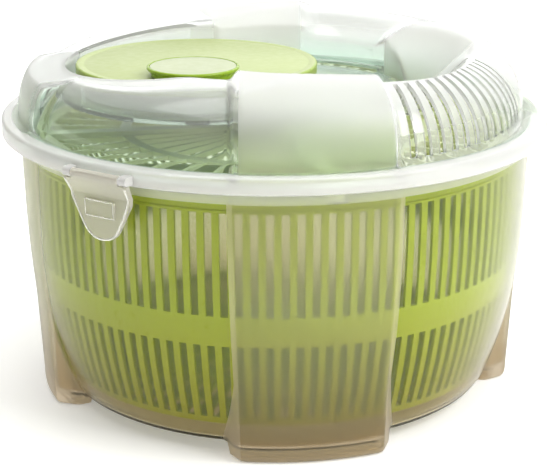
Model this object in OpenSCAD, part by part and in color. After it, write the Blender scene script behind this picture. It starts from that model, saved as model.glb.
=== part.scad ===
// Salad spinner: a clear bowl with four frosted feet, a slotted basket under a spoked cover,
// and a domed lid whose off-centre crank disc turns the basket through an internal gear.
// The origin is the centre of the plane that the feet stand on, +Z is up, and the feet lie on X and Y.

/* [Bowl] */
// Outer radius of the bowl just under its rim
bowl_r = 120.5; // [118:0.1:121]
// Wall thickness of the bowl
bowl_wall = 1.8; // [1.5:0.1:2]
// Height of the underside of the bowl's floor above the feet
floor_z = 4; // [3:0.5:5]
// Height of the bowl's rim
rim_z = 129; // [128:0.5:129]
// Half-width of a frosted foot panel at the floor
foot_half_w = 32; // [28:1:34]

/* [Basket] */
// Outer radius of the basket at its top ring
basket_r = 116; // [114:0.1:116]
// Height of the basket's top edge
basket_top_z = 122; // [120:0.5:122]
// Height of the basket's underside
basket_base_z = 12.6; // [12:0.2:14]
// Number of upright slots in each row
slot_count = 110; // [80:2:120]
// Width of an upright slot
slot_w = 3.5; // [2:0.1:3.8]

/* [Lid] */
// Outer radius of the lid's bead
bead_r = 130; // [129:0.5:131]
// Wall thickness of the lid
lid_wall = 2; // [1.6:0.1:2.2]
// Radius of the lid's crest, measured from the bowl's axis
crest_r = 85; // [84:0.5:86]
// Number of drain slots in the drain window
drain_count = 13; // [7:1:13]
// Width of a drain slot
drain_w = 3.6; // [3:0.1:4]

/* [Drive] */
// Number of teeth on the ring gear under the crank disc
ring_teeth = 66; // [66:1:66]
// Number of teeth on the pinion
pinion_teeth = 16; // [16:1:16]
// Gear module
gear_module = 1.5; // [1.5:0.1:1.5]
// Radius of the crank disc
disc_r = 57; // [55.5:0.5:58]
// Distance of the knob from the crank disc's centre
knob_throw = 34; // [30:1:35]
// Radius of the knob's head
knob_r = 21; // [18:1:21]

/* [Hidden] */
$fn = 96;

// Bowl
bowl_drop = 15.5;
bowl_drop_h = 112;
bowl_top_z = 120;
flange_r = 127.2;
flange_t = 1.8;
foot_top_z = 118;
foot_top_half_w = 35.7;
foot_r = 114.8;
foot_top_r = 120.9;
foot_in_r = 97;
foot_hollow_r = 105.3;
foot_round = [[3.4, 0], [2.1, 0.3], [1, 1.1], [0.3, 2.4], [0, 4.2]];
foot_chamfer = 5;
foot_side = 65;
pivot_boss_r = 7;
pivot_boss_z = 12;
pin_r = 3;
pin_top_z = 22;
pin_chamfer = 1;
floor_r = 98;

// Basket
basket_wall = 1.6;
basket_drop = 13;
basket_h = basket_top_z - basket_base_z;
basket_floor_r = 100.6;
bead_out = 0.5;
cone_low_r = 22;
cone_top_r = 12;
cone_top_z = 26;
lower_row = [17, 54];
upper_row = [68, 114.7];
cup_r = 6;
floor_slot_w = 3;
floor_rings = [[28, 50, 22], [56, 76, 55], [81, 97, 55]];

// Cover on the basket
cover_z = 122.3;
cover_t = 2.4;
cover_rim_r = 115;
cover_rim_w = 7;
cover_ring_r = 72;
cover_ring_w = 5;
cover_centre_r = 26;
cover_lip_h = 5;
cover_lip_t = 1.6;
spoke_count = 44;
spoke_w = 1.8;
arm_w = 7;
hub_r = 16;
hub_top_z = 137;
arm_turn = 4;
dog_w = 8;
dog_t = 2.4;
dog_drop = 3;
dog_gap = 0.4;

// Lid
ledge_z = 134;
skirt_z = 126.8;
plug_r = 117.9;
plug_z = 124.6;
seat_z = rim_z + 0.1;
tube_r = 31.2;
tube_z = 132.8;
back_rise = 35.2;
band_rise = 35.6;
back_band_rise = 38.2;
band_reach = 37;
band_power = 2.5;
band_low = [131, 37];
band_high = [45, 24];
well_floor_z = 143;
well_r = 61.5;
hollow_r = 62;
left_top_z = 155.8;
left_top_x = -112;
top_tilt = 6.4;
scoop_at = [26, -26];
scoop_low_r = 38;
scoop_top_r = 62;
scoop_h = 23;
drain_turn = -45;
drain_spread = 25;
drain_low_z = 133;
drain_in_z = 147;
drain_in = [62, 93];
drain_out = [98, 129];

// Drive
ring_pitch_r = ring_teeth * gear_module / 2;
pinion_pitch_r = pinion_teeth * gear_module / 2;
offset_x = pinion_pitch_r - ring_pitch_r;
disc_top_z = 157.4;
disc_t = 2.6;
gear_z = 144.2;
gear_t = 6.5;
tooth_tip = 1.4;
tooth_root = 1.7;
axle_r = 4;
shaft_r = 3;
knob_turn = -98.7;
knob_x = offset_x + knob_throw * cos(knob_turn);
knob_y = knob_throw * sin(knob_turn);
knob_top_z = 162.2;
knob_pin_r = 3;
screw_r = 1.5;
screw_head_r = 3;
pocket_r = 4.2;
pocket_z = disc_top_z - 1.6;
disc_skirt = 2;
disc_hub_r = 8;
bush_r = 6;
bush_flange_r = 8;
ring_rim = 3.7;
knob_neck_r = 19;
knob_gap = 0.3;
knob_edge = 1.4;
cap_edge = 1.2;
pin_head_r = 5;
pin_head_t = 0.8;
pin_head_z = disc_top_z + 2.8;

// Latches
latch_turns = [-133, 47];
latch_pin_at = [132.5, 129.6];
latch_pin_r = 0.8;
latch_half_w = 17;
latch_len = 27;
latch_knuckle_r = 2;
latch_knuckle_w = 25.2;
latch_gap = 0.6;
catch_w = 16;
catch_h = 8;
lug_w = 4;
lug_root_x = 127.8;

// Shared clearances and cuts
run_gap = 0.05;
cut = 40;
flank_gap = 0.08;
pressure_angle = 20;

// Radius of the bowl's outer wall at height z
function bowl_at(z) = bowl_r - bowl_drop * pow(max(0, bowl_top_z - z) / bowl_drop_h, 3);

// Radius of the basket's outer wall at height z
function basket_at(z) = basket_r - basket_drop * pow((basket_top_z - z) / basket_h, 3);

// Heights from a to b in n equal steps
function steps(a, b, n) = [for (i = [0 : n]) a + (b - a) * i / n];

// Outer quarter of a superellipse about the crest, from its foot to its top
function crest_arc(reach, rise, power) =
    [for (a = steps(0, 90, 18))
        [crest_r + reach * sign(cos(a)) * pow(abs(cos(a)), 2 / power),
         tube_z + rise * pow(abs(sin(a)), 2 / power)]];

// Point at radius r and angle a
function on_circle(r, a) = [r * cos(a), r * sin(a)];

// Angle of the involute at radius r on base radius rb, in degrees
function inv_angle(rb, r) = sqrt(max(0, pow(r / rb, 2) - 1)) * 180 / PI - acos(min(1, rb / r));

// Half the tooth angle at radius r of a gear with n teeth, with the flank set back by slack
function half_tooth(n, r, slack) =
    let (pitch_r = n * gear_module / 2, base_r = pitch_r * cos(pressure_angle))
    90 / n + inv_angle(base_r, pitch_r) - inv_angle(base_r, max(r, base_r)) - slack * 180 / PI / pitch_r;

// Outline of a gear whose teeth run from root_r to tip_r
function gear_outline(n, root_r, tip_r, slack) =
    [for (i = [0 : n - 1]) each concat(
        [for (r = steps(root_r, tip_r, 5)) on_circle(r, 360 * i / n - half_tooth(n, r, slack))],
        [for (r = steps(tip_r, root_r, 5)) on_circle(r, 360 * i / n + half_tooth(n, r, slack))])];

// ---- Bowl -------------------------------------------------------------------------------

// Distance from the bowl's axis to a panel's side wall, where the panel has this half-width and radius
function side_reach(half_w, r) = sqrt(r * r - half_w * half_w) * cos(foot_side) + half_w * sin(foot_side);

// Upright wedge that bounds one foot panel on +X, its side walls leaning out and chamfered below
module foot_wedge(shrink) {
    low = side_reach(foot_half_w, foot_r);
    lean = atan((side_reach(foot_top_half_w, foot_top_r) - low) / foot_top_z);
    intersection_for (side = [-1, 1])
        rotate([0, 0, side * foot_side])
            translate([low - shrink, 0, 0])
                intersection() {
                    rotate([0, lean, 0])
                        translate([-300, -200, -50])
                            cube([300, 400, 250]);
                    translate([-foot_chamfer, 0, 0])
                        rotate([0, 45, 0])
                            translate([-300, -200, -400])
                                cube([300, 400, 650]);
                }
}

// Solid under the outer face of the four foot panels, shrunk evenly for the hollow inside them
module foot_block(shrink) {
    base = shrink > 0 ? floor_z + bowl_wall : 0;
    for (turn = [0 : 90 : 270])
        rotate([0, 0, turn])
            intersection() {
                foot_wedge(shrink);
                rotate_extrude(angle = 360)
                    polygon(concat([[foot_in_r, base]],
                                   [for (p = foot_round) [foot_r - shrink - p[0], base + p[1]]],
                                   [[foot_top_r - shrink, foot_top_z], [foot_in_r, foot_top_z]]));
                translate([0, -100, -1])
                    cube([200, 200, 200]);
            }
}

// Inside of a foot below the bowl's floor: open underneath
module foot_hollow() {
    for (turn = [0 : 90 : 270])
        rotate([0, 0, turn])
            intersection() {
                foot_wedge(2);
                difference() {
                    translate([0, 0, -1])
                        cylinder(r = foot_hollow_r, h = floor_z + 1);
                    translate([0, 0, -2])
                        cylinder(r = foot_in_r - 1, h = floor_z + 3);
                }
                translate([0, -100, -1])
                    cube([200, 200, 200]);
            }
}

module bowl_outside() {
    rotate_extrude()
        polygon(concat(
            [[0, floor_z], [floor_r, floor_z], [floor_r + 3.5, floor_z + 0.8],
             [floor_r + 5.7, floor_z + 2.6]],
            [for (z = steps(floor_z + 5, bowl_top_z, 18)) [bowl_at(z), z]],
            [[bowl_r, rim_z - flange_t - 2], [bowl_r + 2, rim_z - flange_t], [flange_r, rim_z - flange_t],
             [flange_r, rim_z], [0, rim_z]]));
}

module bowl_inside() {
    inner_floor = floor_z + bowl_wall;
    rotate_extrude()
        polygon(concat(
            [[0, inner_floor], [floor_r - 0.5, inner_floor], [floor_r + 2.3, inner_floor + 0.9]],
            [for (z = steps(floor_z + 5, bowl_top_z, 18)) [bowl_at(z) - bowl_wall, z]],
            [[bowl_r - bowl_wall, rim_z + 1], [0, rim_z + 1]]));
}

module bowl() {
    color([0.86, 0.9, 0.84, 0.45])
        difference() {
            union() {
                difference() {
                    union() {
                        bowl_outside();
                        foot_block(0);
                    }
                    bowl_inside();
                    foot_block(bowl_wall);
                    foot_hollow();
                }
                translate([0, 0, floor_z])
                    cylinder(r = pivot_boss_r, h = pivot_boss_z - floor_z);
            }
            translate([0, 0, floor_z + 2])
                cylinder(r = pin_r, h = pivot_boss_z);
        }
}

module bowl_pivot_pin() {
    color("silver") {
        translate([0, 0, floor_z + 2])
            cylinder(r = pin_r, h = pin_top_z - floor_z - 2 - pin_chamfer);
        translate([0, 0, pin_top_z - pin_chamfer])
            cylinder(r1 = pin_r, r2 = pin_r - pin_chamfer, h = pin_chamfer);
    }
}

// ---- Basket -----------------------------------------------------------------------------

module basket_slots(row) {
    for (i = [0 : slot_count - 1])
        rotate([0, 0, 360 * (i + 0.5) / slot_count])
            translate([90, -slot_w / 2, row[0]])
                cube([40, slot_w, row[1] - row[0]]);
}

// Drain slots in the basket's floor
module floor_slots() {
    for (ring = floor_rings)
        for (i = [0 : ring[2] - 1])
            rotate([0, 0, 360 * i / ring[2]])
                translate([ring[0], -floor_slot_w / 2, basket_base_z - 1])
                    cube([ring[1] - ring[0], floor_slot_w, basket_wall + 2]);
}

module basket() {
    inner_base = basket_base_z + basket_wall;
    color([0.72, 0.8, 0.3])
        difference() {
            union() {
                rotate_extrude()
                    polygon(concat(
                        [[cup_r, basket_base_z], [basket_floor_r, basket_base_z]],
                        [for (z = steps(basket_base_z + 2, basket_top_z, 6)) [basket_at(z), z]],
                        [for (z = steps(basket_top_z, inner_base + 2, 6)) [basket_at(z) - basket_wall, z]],
                        [[basket_floor_r - basket_wall, inner_base], [cone_low_r, inner_base],
                         [cone_top_r, cone_top_z], [cup_r, cone_top_z]]));
                // Bead under the top ring
                translate([0, 0, upper_row[1]])
                    rotate_extrude()
                        polygon([[basket_r - 1, 0], [basket_r + bead_out, 0.3], [basket_r + bead_out, 1.2],
                                 [basket_r - 1, 1.6]]);
            }
            basket_slots(lower_row);
            basket_slots(upper_row);
            floor_slots();
            for (turn = [0 : 90 : 270])
                rotate([0, 0, turn + arm_turn])
                    translate([basket_r - 6, -dog_w / 2 - dog_gap, basket_top_z - dog_drop - dog_gap])
                        cube([10, dog_w + 2 * dog_gap, 10]);
        }
}

module basket_pivot_cup() {
    color("whitesmoke")
        difference() {
            translate([0, 0, basket_base_z])
                cylinder(r = cup_r, h = cone_top_z - basket_base_z);
            translate([0, 0, basket_base_z - 1])
                cylinder(r = pin_r + run_gap, h = pin_top_z - basket_base_z + 1 + run_gap);
        }
}

// ---- Cover and drive under the lid --------------------------------------------------------

module basket_cover() {
    color([0.82, 0.88, 0.5])
        translate([0, 0, cover_z])
            difference() {
                union() {
                    // Outer flange, inner ring and centre plate
                    for (band = [[cover_rim_r - cover_rim_w, cover_rim_r],
                                 [cover_ring_r - cover_ring_w / 2, cover_ring_r + cover_ring_w / 2],
                                 [0, cover_centre_r]])
                        rotate_extrude()
                            translate([band[0], 0])
                                square([band[1] - band[0], cover_t]);
                    // Lip that drops inside the basket
                    translate([0, 0, -cover_lip_h])
                        rotate_extrude()
                            translate([cover_rim_r - 4.4, 0])
                                square([cover_lip_t, cover_lip_h + 0.2]);
                    for (i = [0 : spoke_count - 1])
                        rotate([0, 0, 360 * i / spoke_count])
                            translate([cover_centre_r - 2, -spoke_w / 2, 0])
                                cube([cover_rim_r - cover_centre_r - 2, spoke_w, cover_t]);
                    // Four strong arms, each with a dog that drops into a notch of the basket's rim
                    for (turn = [0 : 90 : 270])
                        rotate([0, 0, turn + arm_turn]) {
                            translate([hub_r - 6, -arm_w / 2, 0])
                                cube([cover_rim_r - hub_r + 2, arm_w, cover_t + 2]);
                            translate([cover_rim_r - 2.6, -dog_w / 2, basket_top_z - dog_drop - cover_z])
                                cube([dog_t, dog_w, dog_drop + 0.5]);
                        }
                }
                translate([0, 0, -1])
                    cylinder(r = hub_r - 4, h = 10);
            }
}

module cover_hub() {
    color([0.82, 0.88, 0.5])
        difference() {
            union() {
                translate([0, 0, cover_z - 3])
                    cylinder(r = hub_r - 4, h = 3 + cover_t + 2);
                translate([0, 0, cover_z + cover_t + 2])
                    cylinder(r1 = hub_r - 1, r2 = 7, h = hub_top_z - cover_z - cover_t - 2);
            }
            translate([0, 0, cover_z - 4])
                cylinder(r = shaft_r, h = cut);
        }
}

module drive_pinion() {
    color("whitesmoke")
        translate([0, 0, gear_z])
            difference() {
                linear_extrude(height = gear_t)
                    polygon(gear_outline(pinion_teeth, pinion_pitch_r - tooth_root,
                                         pinion_pitch_r + tooth_tip, flank_gap));
                translate([0, 0, -1])
                    cylinder(r = shaft_r, h = gear_t + 2);
            }
}

module pinion_shaft() {
    color("silver")
        translate([0, 0, cover_z - 1])
            cylinder(r = shaft_r, h = gear_z + gear_t - cover_z + 1);
}

module shaft_bush() {
    color("whitesmoke")
        difference() {
            union() {
                translate([0, 0, well_floor_z - 5])
                    cylinder(r = bush_r, h = 6);
                translate([0, 0, well_floor_z])
                    cylinder(r = bush_flange_r, h = 1);
            }
            translate([0, 0, well_floor_z - 6])
                cylinder(r = shaft_r + run_gap, h = 10);
        }
}

module shaft_circlip() {
    color("dimgray")
        translate([0, 0, hub_top_z])
            difference() {
                cylinder(r = 5.2, h = 0.8);
                translate([0, 0, -1])
                    cylinder(r = shaft_r, h = 3);
                translate([0, -1.2, -1])
                    cube([10, 2.4, 3]);
            }
}

// ---- Lid ----------------------------------------------------------------------------------

// Round dome with its bead and plug, solid to the axis, and higher over the back half
module dome_outside() {
    rotate_extrude()
        polygon(concat(
            [[0, plug_z], [plug_r, plug_z], [plug_r, seat_z], [bead_r - 2, seat_z], [bead_r - 2, skirt_z],
             [bead_r, skirt_z], [bead_r, ledge_z - 1.4], [bead_r - 0.5, ledge_z - 0.4],
             [bead_r - 1.4, ledge_z], [122, ledge_z], [119, tube_z - 1], [crest_r + tube_r, tube_z - 1]],
            crest_arc(tube_r, tube_r, 2),
            [[0, tube_z + tube_r]]));
    back_dome(0);
}

module back_dome(shrink) {
    rotate_extrude(angle = 180)
        polygon(concat(
            [[0, tube_z - 1], [crest_r + tube_r - shrink, tube_z - 1]],
            crest_arc(tube_r - shrink, back_rise - shrink, 2),
            [[0, tube_z + back_rise - shrink]]));
}

module dome_inside() {
    inner = tube_r - lid_wall;
    rotate_extrude()
        polygon(concat(
            [[0, plug_z - 5], [plug_r - lid_wall, plug_z - 5], [plug_r - lid_wall, tube_z - 3],
             [crest_r + inner, tube_z - 1]],
            crest_arc(inner, inner, 2),
            [[0, tube_z + inner]]));
    back_dome(lid_wall);
}

// Four proud bands, narrower toward the well, the back one the highest
module bands(shrink) {
    for (turn = [0 : 90 : 270]) {
        rise = turn == 90 ? back_band_rise : band_rise;
        rotate([0, 0, turn])
            intersection() {
                rotate_extrude()
                    polygon(concat(
                        [[40, tube_z - 1], [crest_r + band_reach - shrink, tube_z - 1]],
                        crest_arc(band_reach - shrink, rise - shrink, band_power),
                        [[40, tube_z + rise - shrink]]));
                linear_extrude(height = 300)
                    polygon([[band_high[0], shrink - band_high[1]], [band_low[0], shrink - band_low[1]],
                             [band_low[0], band_low[1] - shrink], [band_high[0], band_high[1] - shrink]]);
            }
    }
}

// Space over the lid's slanting top, which falls toward -X
module above_top(drop) {
    translate([left_top_x, -200, left_top_z - drop])
        rotate([0, -top_tilt, 0])
            translate([-100, 0, 0])
                cube([400, 400, 100]);
}

// The well: round over the bowl's axis, round again under the crank disc, and scooped out beside it
module well(grow) {
    translate([0, 0, well_floor_z - grow]) {
        cylinder(r = hollow_r + grow, h = 60);
        translate([offset_x, 0, 0])
            cylinder(r = well_r + grow, h = 60);
        translate(scoop_at)
            cylinder(r1 = scoop_low_r + grow / 2, r2 = scoop_top_r + grow / 2, h = scoop_h);
        translate([scoop_at[0], scoop_at[1], scoop_h])
            cylinder(r = scoop_top_r + grow / 2, h = cut);
    }
}

// Radial drain slots over the outside and the inside of the drain window
module drain_slots() {
    for (a = steps(drain_turn - drain_spread, drain_turn + drain_spread, drain_count - 1))
        rotate([0, 0, a])
            for (reach = [[drain_out, drain_low_z], [drain_in, drain_in_z]])
                translate([reach[0][0], -drain_w / 2, reach[1]])
                    cube([reach[0][1] - reach[0][0], drain_w, 60]);
}

// Lugs on the bead that hold a latch's pin
module latch_lugs() {
    for (turn = latch_turns)
        rotate([0, 0, turn])
            for (side = [-1, 1])
                translate([0, side * (latch_half_w - lug_w / 2) - lug_w / 2, 0])
                    difference() {
                        union() {
                            translate([latch_pin_at[0], 0, latch_pin_at[1]])
                                rotate([-90, 0, 0])
                                    cylinder(r = latch_knuckle_r, h = lug_w);
                            translate([lug_root_x, 0, latch_pin_at[1] - latch_knuckle_r + 0.1])
                                cube([latch_pin_at[0] - lug_root_x, lug_w, 2 * latch_knuckle_r - 0.1]);
                        }
                        translate([latch_pin_at[0], -1, latch_pin_at[1]])
                            rotate([-90, 0, 0])
                                cylinder(r = latch_pin_r, h = 6);
                    }
}

module lid_shell() {
    color([0.9, 0.94, 0.9, 0.45]) {
        difference() {
            union() {
                difference() {
                    union() {
                        dome_outside();
                        bands(0);
                    }
                    above_top(0);
                    well(0);
                    difference() {
                        union() {
                            dome_inside();
                            bands(lid_wall);
                        }
                        above_top(lid_wall);
                        well(lid_wall);
                    }
                }
                latch_lugs();
            }
            drain_slots();
            translate([0, 0, well_floor_z - 10])
                cylinder(r = bush_r, h = cut);
            translate([offset_x, 0, well_floor_z - 10])
                cylinder(r = axle_r, h = cut);
        }
    }
}

// ---- Crank ----------------------------------------------------------------------------------

module disc_axle() {
    color("silver")
        translate([offset_x, 0, 0]) {
            difference() {
                translate([0, 0, well_floor_z - lid_wall])
                    cylinder(r = axle_r, h = disc_top_z - disc_t - well_floor_z + lid_wall);
                translate([0, 0, well_floor_z + 2])
                    cylinder(r = screw_r, h = cut);
            }
            translate([0, 0, well_floor_z])
                difference() {
                    cylinder(r = 7, h = 1);
                    translate([0, 0, -1])
                        cylinder(r = axle_r, h = 3);
                }
        }
}

module crank_disc() {
    color([0.86, 0.92, 0.7])
        difference() {
            union() {
                translate([offset_x, 0, 0])
                    rotate_extrude()
                        polygon([[0, disc_top_z - disc_t], [disc_r - 2, disc_top_z - disc_t],
                                 [disc_r - 2, disc_top_z - disc_t - disc_skirt],
                                 [disc_r, disc_top_z - disc_t - disc_skirt],
                                 [disc_r, disc_top_z - 0.6], [disc_r - 0.6, disc_top_z], [0, disc_top_z]]);
                translate([offset_x, 0, gear_z + 1])
                    cylinder(r = disc_hub_r, h = disc_top_z - gear_z - 2);
            }
            translate([offset_x, 0, gear_z])
                cylinder(r = bush_r, h = disc_top_z - disc_t - gear_z);
            translate([offset_x, 0, gear_z])
                cylinder(r = screw_r + 0.3, h = cut);
            translate([offset_x, 0, pocket_z])
                cylinder(r = pocket_r, h = cut);
            translate([knob_x, knob_y, disc_top_z - 10])
                cylinder(r = knob_pin_r, h = cut);
        }
}

module disc_bush() {
    color("whitesmoke")
        translate([offset_x, 0, gear_z + 1])
            difference() {
                cylinder(r = bush_r, h = disc_top_z - disc_t - gear_z - 1);
                translate([0, 0, -1])
                    cylinder(r = axle_r + run_gap, h = cut);
            }
}

module ring_gear() {
    color("whitesmoke")
        translate([offset_x, 0, gear_z])
            difference() {
                cylinder(r = ring_pitch_r + ring_rim, h = disc_top_z - disc_t - gear_z);
                translate([0, 0, -1])
                    linear_extrude(height = 30)
                        polygon(gear_outline(ring_teeth, ring_pitch_r - tooth_tip,
                                             ring_pitch_r + tooth_root, -flank_gap));
            }
}

module disc_washer() {
    color("silver")
        translate([offset_x, 0, pocket_z])
            difference() {
                cylinder(r = pocket_r - 0.2, h = 0.5);
                translate([0, 0, -1])
                    cylinder(r = screw_r + 0.2, h = 3);
            }
}

module disc_screw() {
    color("silver")
        translate([offset_x, 0, 0]) {
            translate([0, 0, well_floor_z + 2.2])
                cylinder(r = screw_r, h = disc_top_z - 1.1 - well_floor_z - 2.2);
            difference() {
                translate([0, 0, disc_top_z - 1.1])
                    cylinder(r = screw_head_r, h = 1);
                for (turn = [0, 90])
                    rotate([0, 0, turn])
                        translate([-2, -0.35, disc_top_z - 0.6])
                            cube([4, 0.7, 1]);
            }
        }
}

module knob() {
    color([0.55, 0.74, 0.12])
        translate([knob_x, knob_y, 0])
            difference() {
                rotate_extrude()
                    polygon(concat(
                        [[0, disc_top_z + knob_gap], [knob_neck_r, disc_top_z + knob_gap]],
                        [for (t = steps(0, 1, 8))
                            [knob_neck_r + (knob_r - knob_neck_r - 0.1) * t * t,
                             disc_top_z + knob_gap + (knob_top_z - knob_edge - disc_top_z - knob_gap) * t]],
                        [[knob_r, knob_top_z - knob_edge + 0.2], [knob_r, knob_top_z - 0.6],
                         [knob_r - 0.6, knob_top_z], [0, knob_top_z]]));
                translate([0, 0, disc_top_z - 1])
                    cylinder(r = knob_pin_r + run_gap, h = cut);
                translate([0, 0, pin_head_z - 0.2])
                    cylinder(r = pin_head_r + 1.3, h = cut);
                translate([0, 0, knob_top_z - 1])
                    cylinder(r = knob_r - cap_edge, h = cut);
            }
}

module knob_pin() {
    color("silver")
        translate([knob_x, knob_y, 0]) {
            translate([0, 0, disc_top_z - disc_t])
                cylinder(r = knob_pin_r, h = pin_head_z - disc_top_z + disc_t + 0.1);
            for (z = [pin_head_z, disc_top_z - disc_t - pin_head_t])
                translate([0, 0, z])
                    cylinder(r = pin_head_r, h = pin_head_t);
        }
}

module knob_cap() {
    color([0.88, 0.92, 0.78])
        translate([knob_x, knob_y, knob_top_z - 1])
            cylinder(r = knob_r - cap_edge, h = 0.9);
}

// ---- Latches --------------------------------------------------------------------------------

// Tongue seen from the front: straight sides that taper to a round end
module latch_outline() {
    top = latch_pin_at[1] + latch_knuckle_r;
    neck = latch_knuckle_w / 2;
    shoulder_z = 127.2;
    end_r = 9;
    end_z = latch_pin_at[1] - latch_knuckle_r - latch_len + end_r;
    polygon(concat(
        [[-neck, top], [-neck, shoulder_z], [-latch_half_w, shoulder_z], [-latch_half_w + 1, 118]],
        [for (a = steps(200, 340, 14)) [end_r * 1.15 * cos(a), end_z + end_r * sin(a)]],
        [[latch_half_w - 1, 118], [latch_half_w, shoulder_z], [neck, shoulder_z], [neck, top]]));
}

// Tongue seen from the side: it drops from its pin, steps in below the bead and hangs beside the rim
module latch_side() {
    x = flange_r + latch_gap;
    polygon([[131.9, 129.6], [134.3, 129.6], [133.3, 126], [x + 2.4, 120.5], [x + 1.7, 98], [x, 98],
             [x + 0.6, 121.2], [131.2, 126.6]]);
}

module latch() {
    difference() {
        union() {
            intersection() {
                rotate([90, 0, 0])
                    translate([0, 0, -40])
                        linear_extrude(height = 80)
                            latch_side();
                rotate([90, 0, 90])
                    linear_extrude(height = 200)
                        latch_outline();
            }
            translate([latch_pin_at[0], -latch_knuckle_w / 2, latch_pin_at[1]])
                rotate([-90, 0, 0])
                    cylinder(r = latch_knuckle_r, h = latch_knuckle_w);
            // Raised catch
            translate([flange_r + latch_gap + 0.9, -catch_w / 2, 111])
                cube([2, catch_w, catch_h]);
        }
        translate([latch_pin_at[0], -20, latch_pin_at[1]])
            rotate([-90, 0, 0])
                cylinder(r = latch_pin_r + run_gap, h = cut);
    }
}

module latch_front() {
    color([0.88, 0.9, 0.86, 0.6])
        rotate([0, 0, latch_turns[0]])
            latch();
}

module latch_back() {
    color([0.88, 0.9, 0.86, 0.6])
        rotate([0, 0, latch_turns[1]])
            latch();
}

module latch_pins() {
    color("silver")
        for (turn = latch_turns)
            rotate([0, 0, turn])
                translate([latch_pin_at[0], -16, latch_pin_at[1]])
                    rotate([-90, 0, 0])
                        cylinder(r = latch_pin_r, h = 32);
}

bowl();
bowl_pivot_pin();
basket();
basket_pivot_cup();
basket_cover();
cover_hub();
drive_pinion();
pinion_shaft();
shaft_bush();
shaft_circlip();
lid_shell();
disc_axle();
crank_disc();
ring_gear();
disc_bush();
disc_washer();
disc_screw();
knob();
knob_pin();
knob_cap();
latch_front();
latch_back();
latch_pins();
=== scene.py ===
import math

import bpy
import numpy as np
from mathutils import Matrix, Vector


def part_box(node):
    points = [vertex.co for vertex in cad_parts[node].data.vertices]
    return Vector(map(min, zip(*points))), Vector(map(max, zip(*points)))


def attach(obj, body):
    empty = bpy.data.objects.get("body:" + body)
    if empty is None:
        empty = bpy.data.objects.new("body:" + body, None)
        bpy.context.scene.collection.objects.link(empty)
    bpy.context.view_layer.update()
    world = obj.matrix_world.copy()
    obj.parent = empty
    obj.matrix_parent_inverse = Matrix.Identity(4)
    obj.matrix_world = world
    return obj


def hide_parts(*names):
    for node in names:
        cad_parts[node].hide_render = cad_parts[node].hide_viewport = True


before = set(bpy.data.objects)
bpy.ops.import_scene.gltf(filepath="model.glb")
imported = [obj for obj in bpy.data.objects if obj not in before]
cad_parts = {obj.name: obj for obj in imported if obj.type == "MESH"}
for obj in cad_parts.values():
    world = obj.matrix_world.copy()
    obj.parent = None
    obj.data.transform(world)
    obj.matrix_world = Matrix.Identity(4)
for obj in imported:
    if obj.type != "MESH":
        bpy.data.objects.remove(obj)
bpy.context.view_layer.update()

MM = 0.001
PI = math.pi

# ---- Sizes, in millimetres, that repeat the design's ---------------------------------------------

BOWL_R, BOWL_DROP, BOWL_DROP_H, BOWL_TOP_Z = 120.5, 15.5, 112.0, 120.0
BOWL_WALL, FLOOR_Z, RIM_Z, FLANGE_R = 1.8, 4.0, 129.0, 127.2
FOOT_R, FOOT_TOP_R, FOOT_TOP_Z = 114.8, 120.9, 118.0
FOOT_HALF_W, FOOT_TOP_HALF_W, FOOT_SIDE = 32.0, 35.7, math.radians(65)
FOOT_ROUND = ((3.4, 0.0), (2.1, 0.3), (1.0, 1.1), (0.3, 2.4), (0.0, 4.2))

BASKET_R, BASKET_DROP, BASKET_TOP_Z, BASKET_BASE_Z, BASKET_WALL = 116.0, 13.0, 122.0, 12.6, 1.6
SLOTS, LOWER_ROW, UPPER_ROW = 110, (17.0, 54.0), (68.0, 114.7)
ARM_TURN = 4.0

BEAD_R, LEDGE_Z, SKIRT_Z, SEAT_Z = 130.0, 134.0, 126.8, 129.1
PLUG_R, PLUG_Z, LID_WALL = 117.9, 124.6, 2.0
CREST_R, TUBE_R, TUBE_Z = 85.0, 31.2, 132.8
BAND_REACH, BAND_RISE, BAND_POWER = 37.0, 35.6, 2.5
BAND_LOW, BAND_HIGH = (131.0, 37.0), (45.0, 24.0)
WELL_FLOOR_Z, WELL_R, HOLLOW_R, OFFSET_X = 143.0, 61.5, 62.0, -37.5
LEFT_TOP_Z, LEFT_TOP_X, TOP_TILT, BACK_RISE = 155.8, -112.0, math.radians(6.4), 35.2
SCOOP_AT, SCOOP_LOW_R, SCOOP_TOP_R, SCOOP_H = (26.0, -26.0), 38.0, 62.0, 23.0
DRAINS, DRAIN_IN, DRAIN_IN_Z = 13, (62, 93), 147

LATCH_TURNS = (math.radians(-133), math.radians(47))
PIN_X, PIN_Z, KNUCKLE_R, LUG_W = 132.5, 129.6, 2.0, 4.0
LATCH_HALF_W, LATCH_LEN = 17.0, 27.0

# ---- Sizes of the looks' own, in millimetres -----------------------------------------------------

# The back band's rise, and the reach and power of the two far bands, softer than the design's
BACK_BAND_RISE, FAR_REACH, FAR_POWER = 37.8, 33.2, 2.2
# Half the width over which a band runs out into its windows, and what a far band adds to it
BORDER, FAR_BORDER = 2.6, 2.4
# Where the drain slots start on the dome's outer side
DRAIN_OUT_R = 96
# A basket slot's share of its pitch, and half a notch's angle in degrees
SLOT_SHARE, NOTCH_HALF = 0.53, 2.2
LUG_ROOT_X, TIP_R = 127.9, 9.0

# Cells of the lid's mesh across half a band, a band's edge, a drain slot and a bar
BAND_CELLS, EDGE_CELLS, SLOT_CELLS, BAR_CELLS = 16, 6, 3, 4
WINDOW_CELLS = DRAINS * SLOT_CELLS + (DRAINS + 1) * BAR_CELLS


# ---- Small maths ---------------------------------------------------------------------------------

def smooth_step(x):
    x = np.clip(x, 0.0, 1.0)
    return x * x * (3 - 2 * x)


def smooth_max(a, b, k):
    """The larger of a and b, rounded over a width k where they meet."""
    h = np.clip(0.5 + 0.5 * (a - b) / k, 0.0, 1.0)
    return b + (a - b) * h + k * h * (1 - h)


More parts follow.
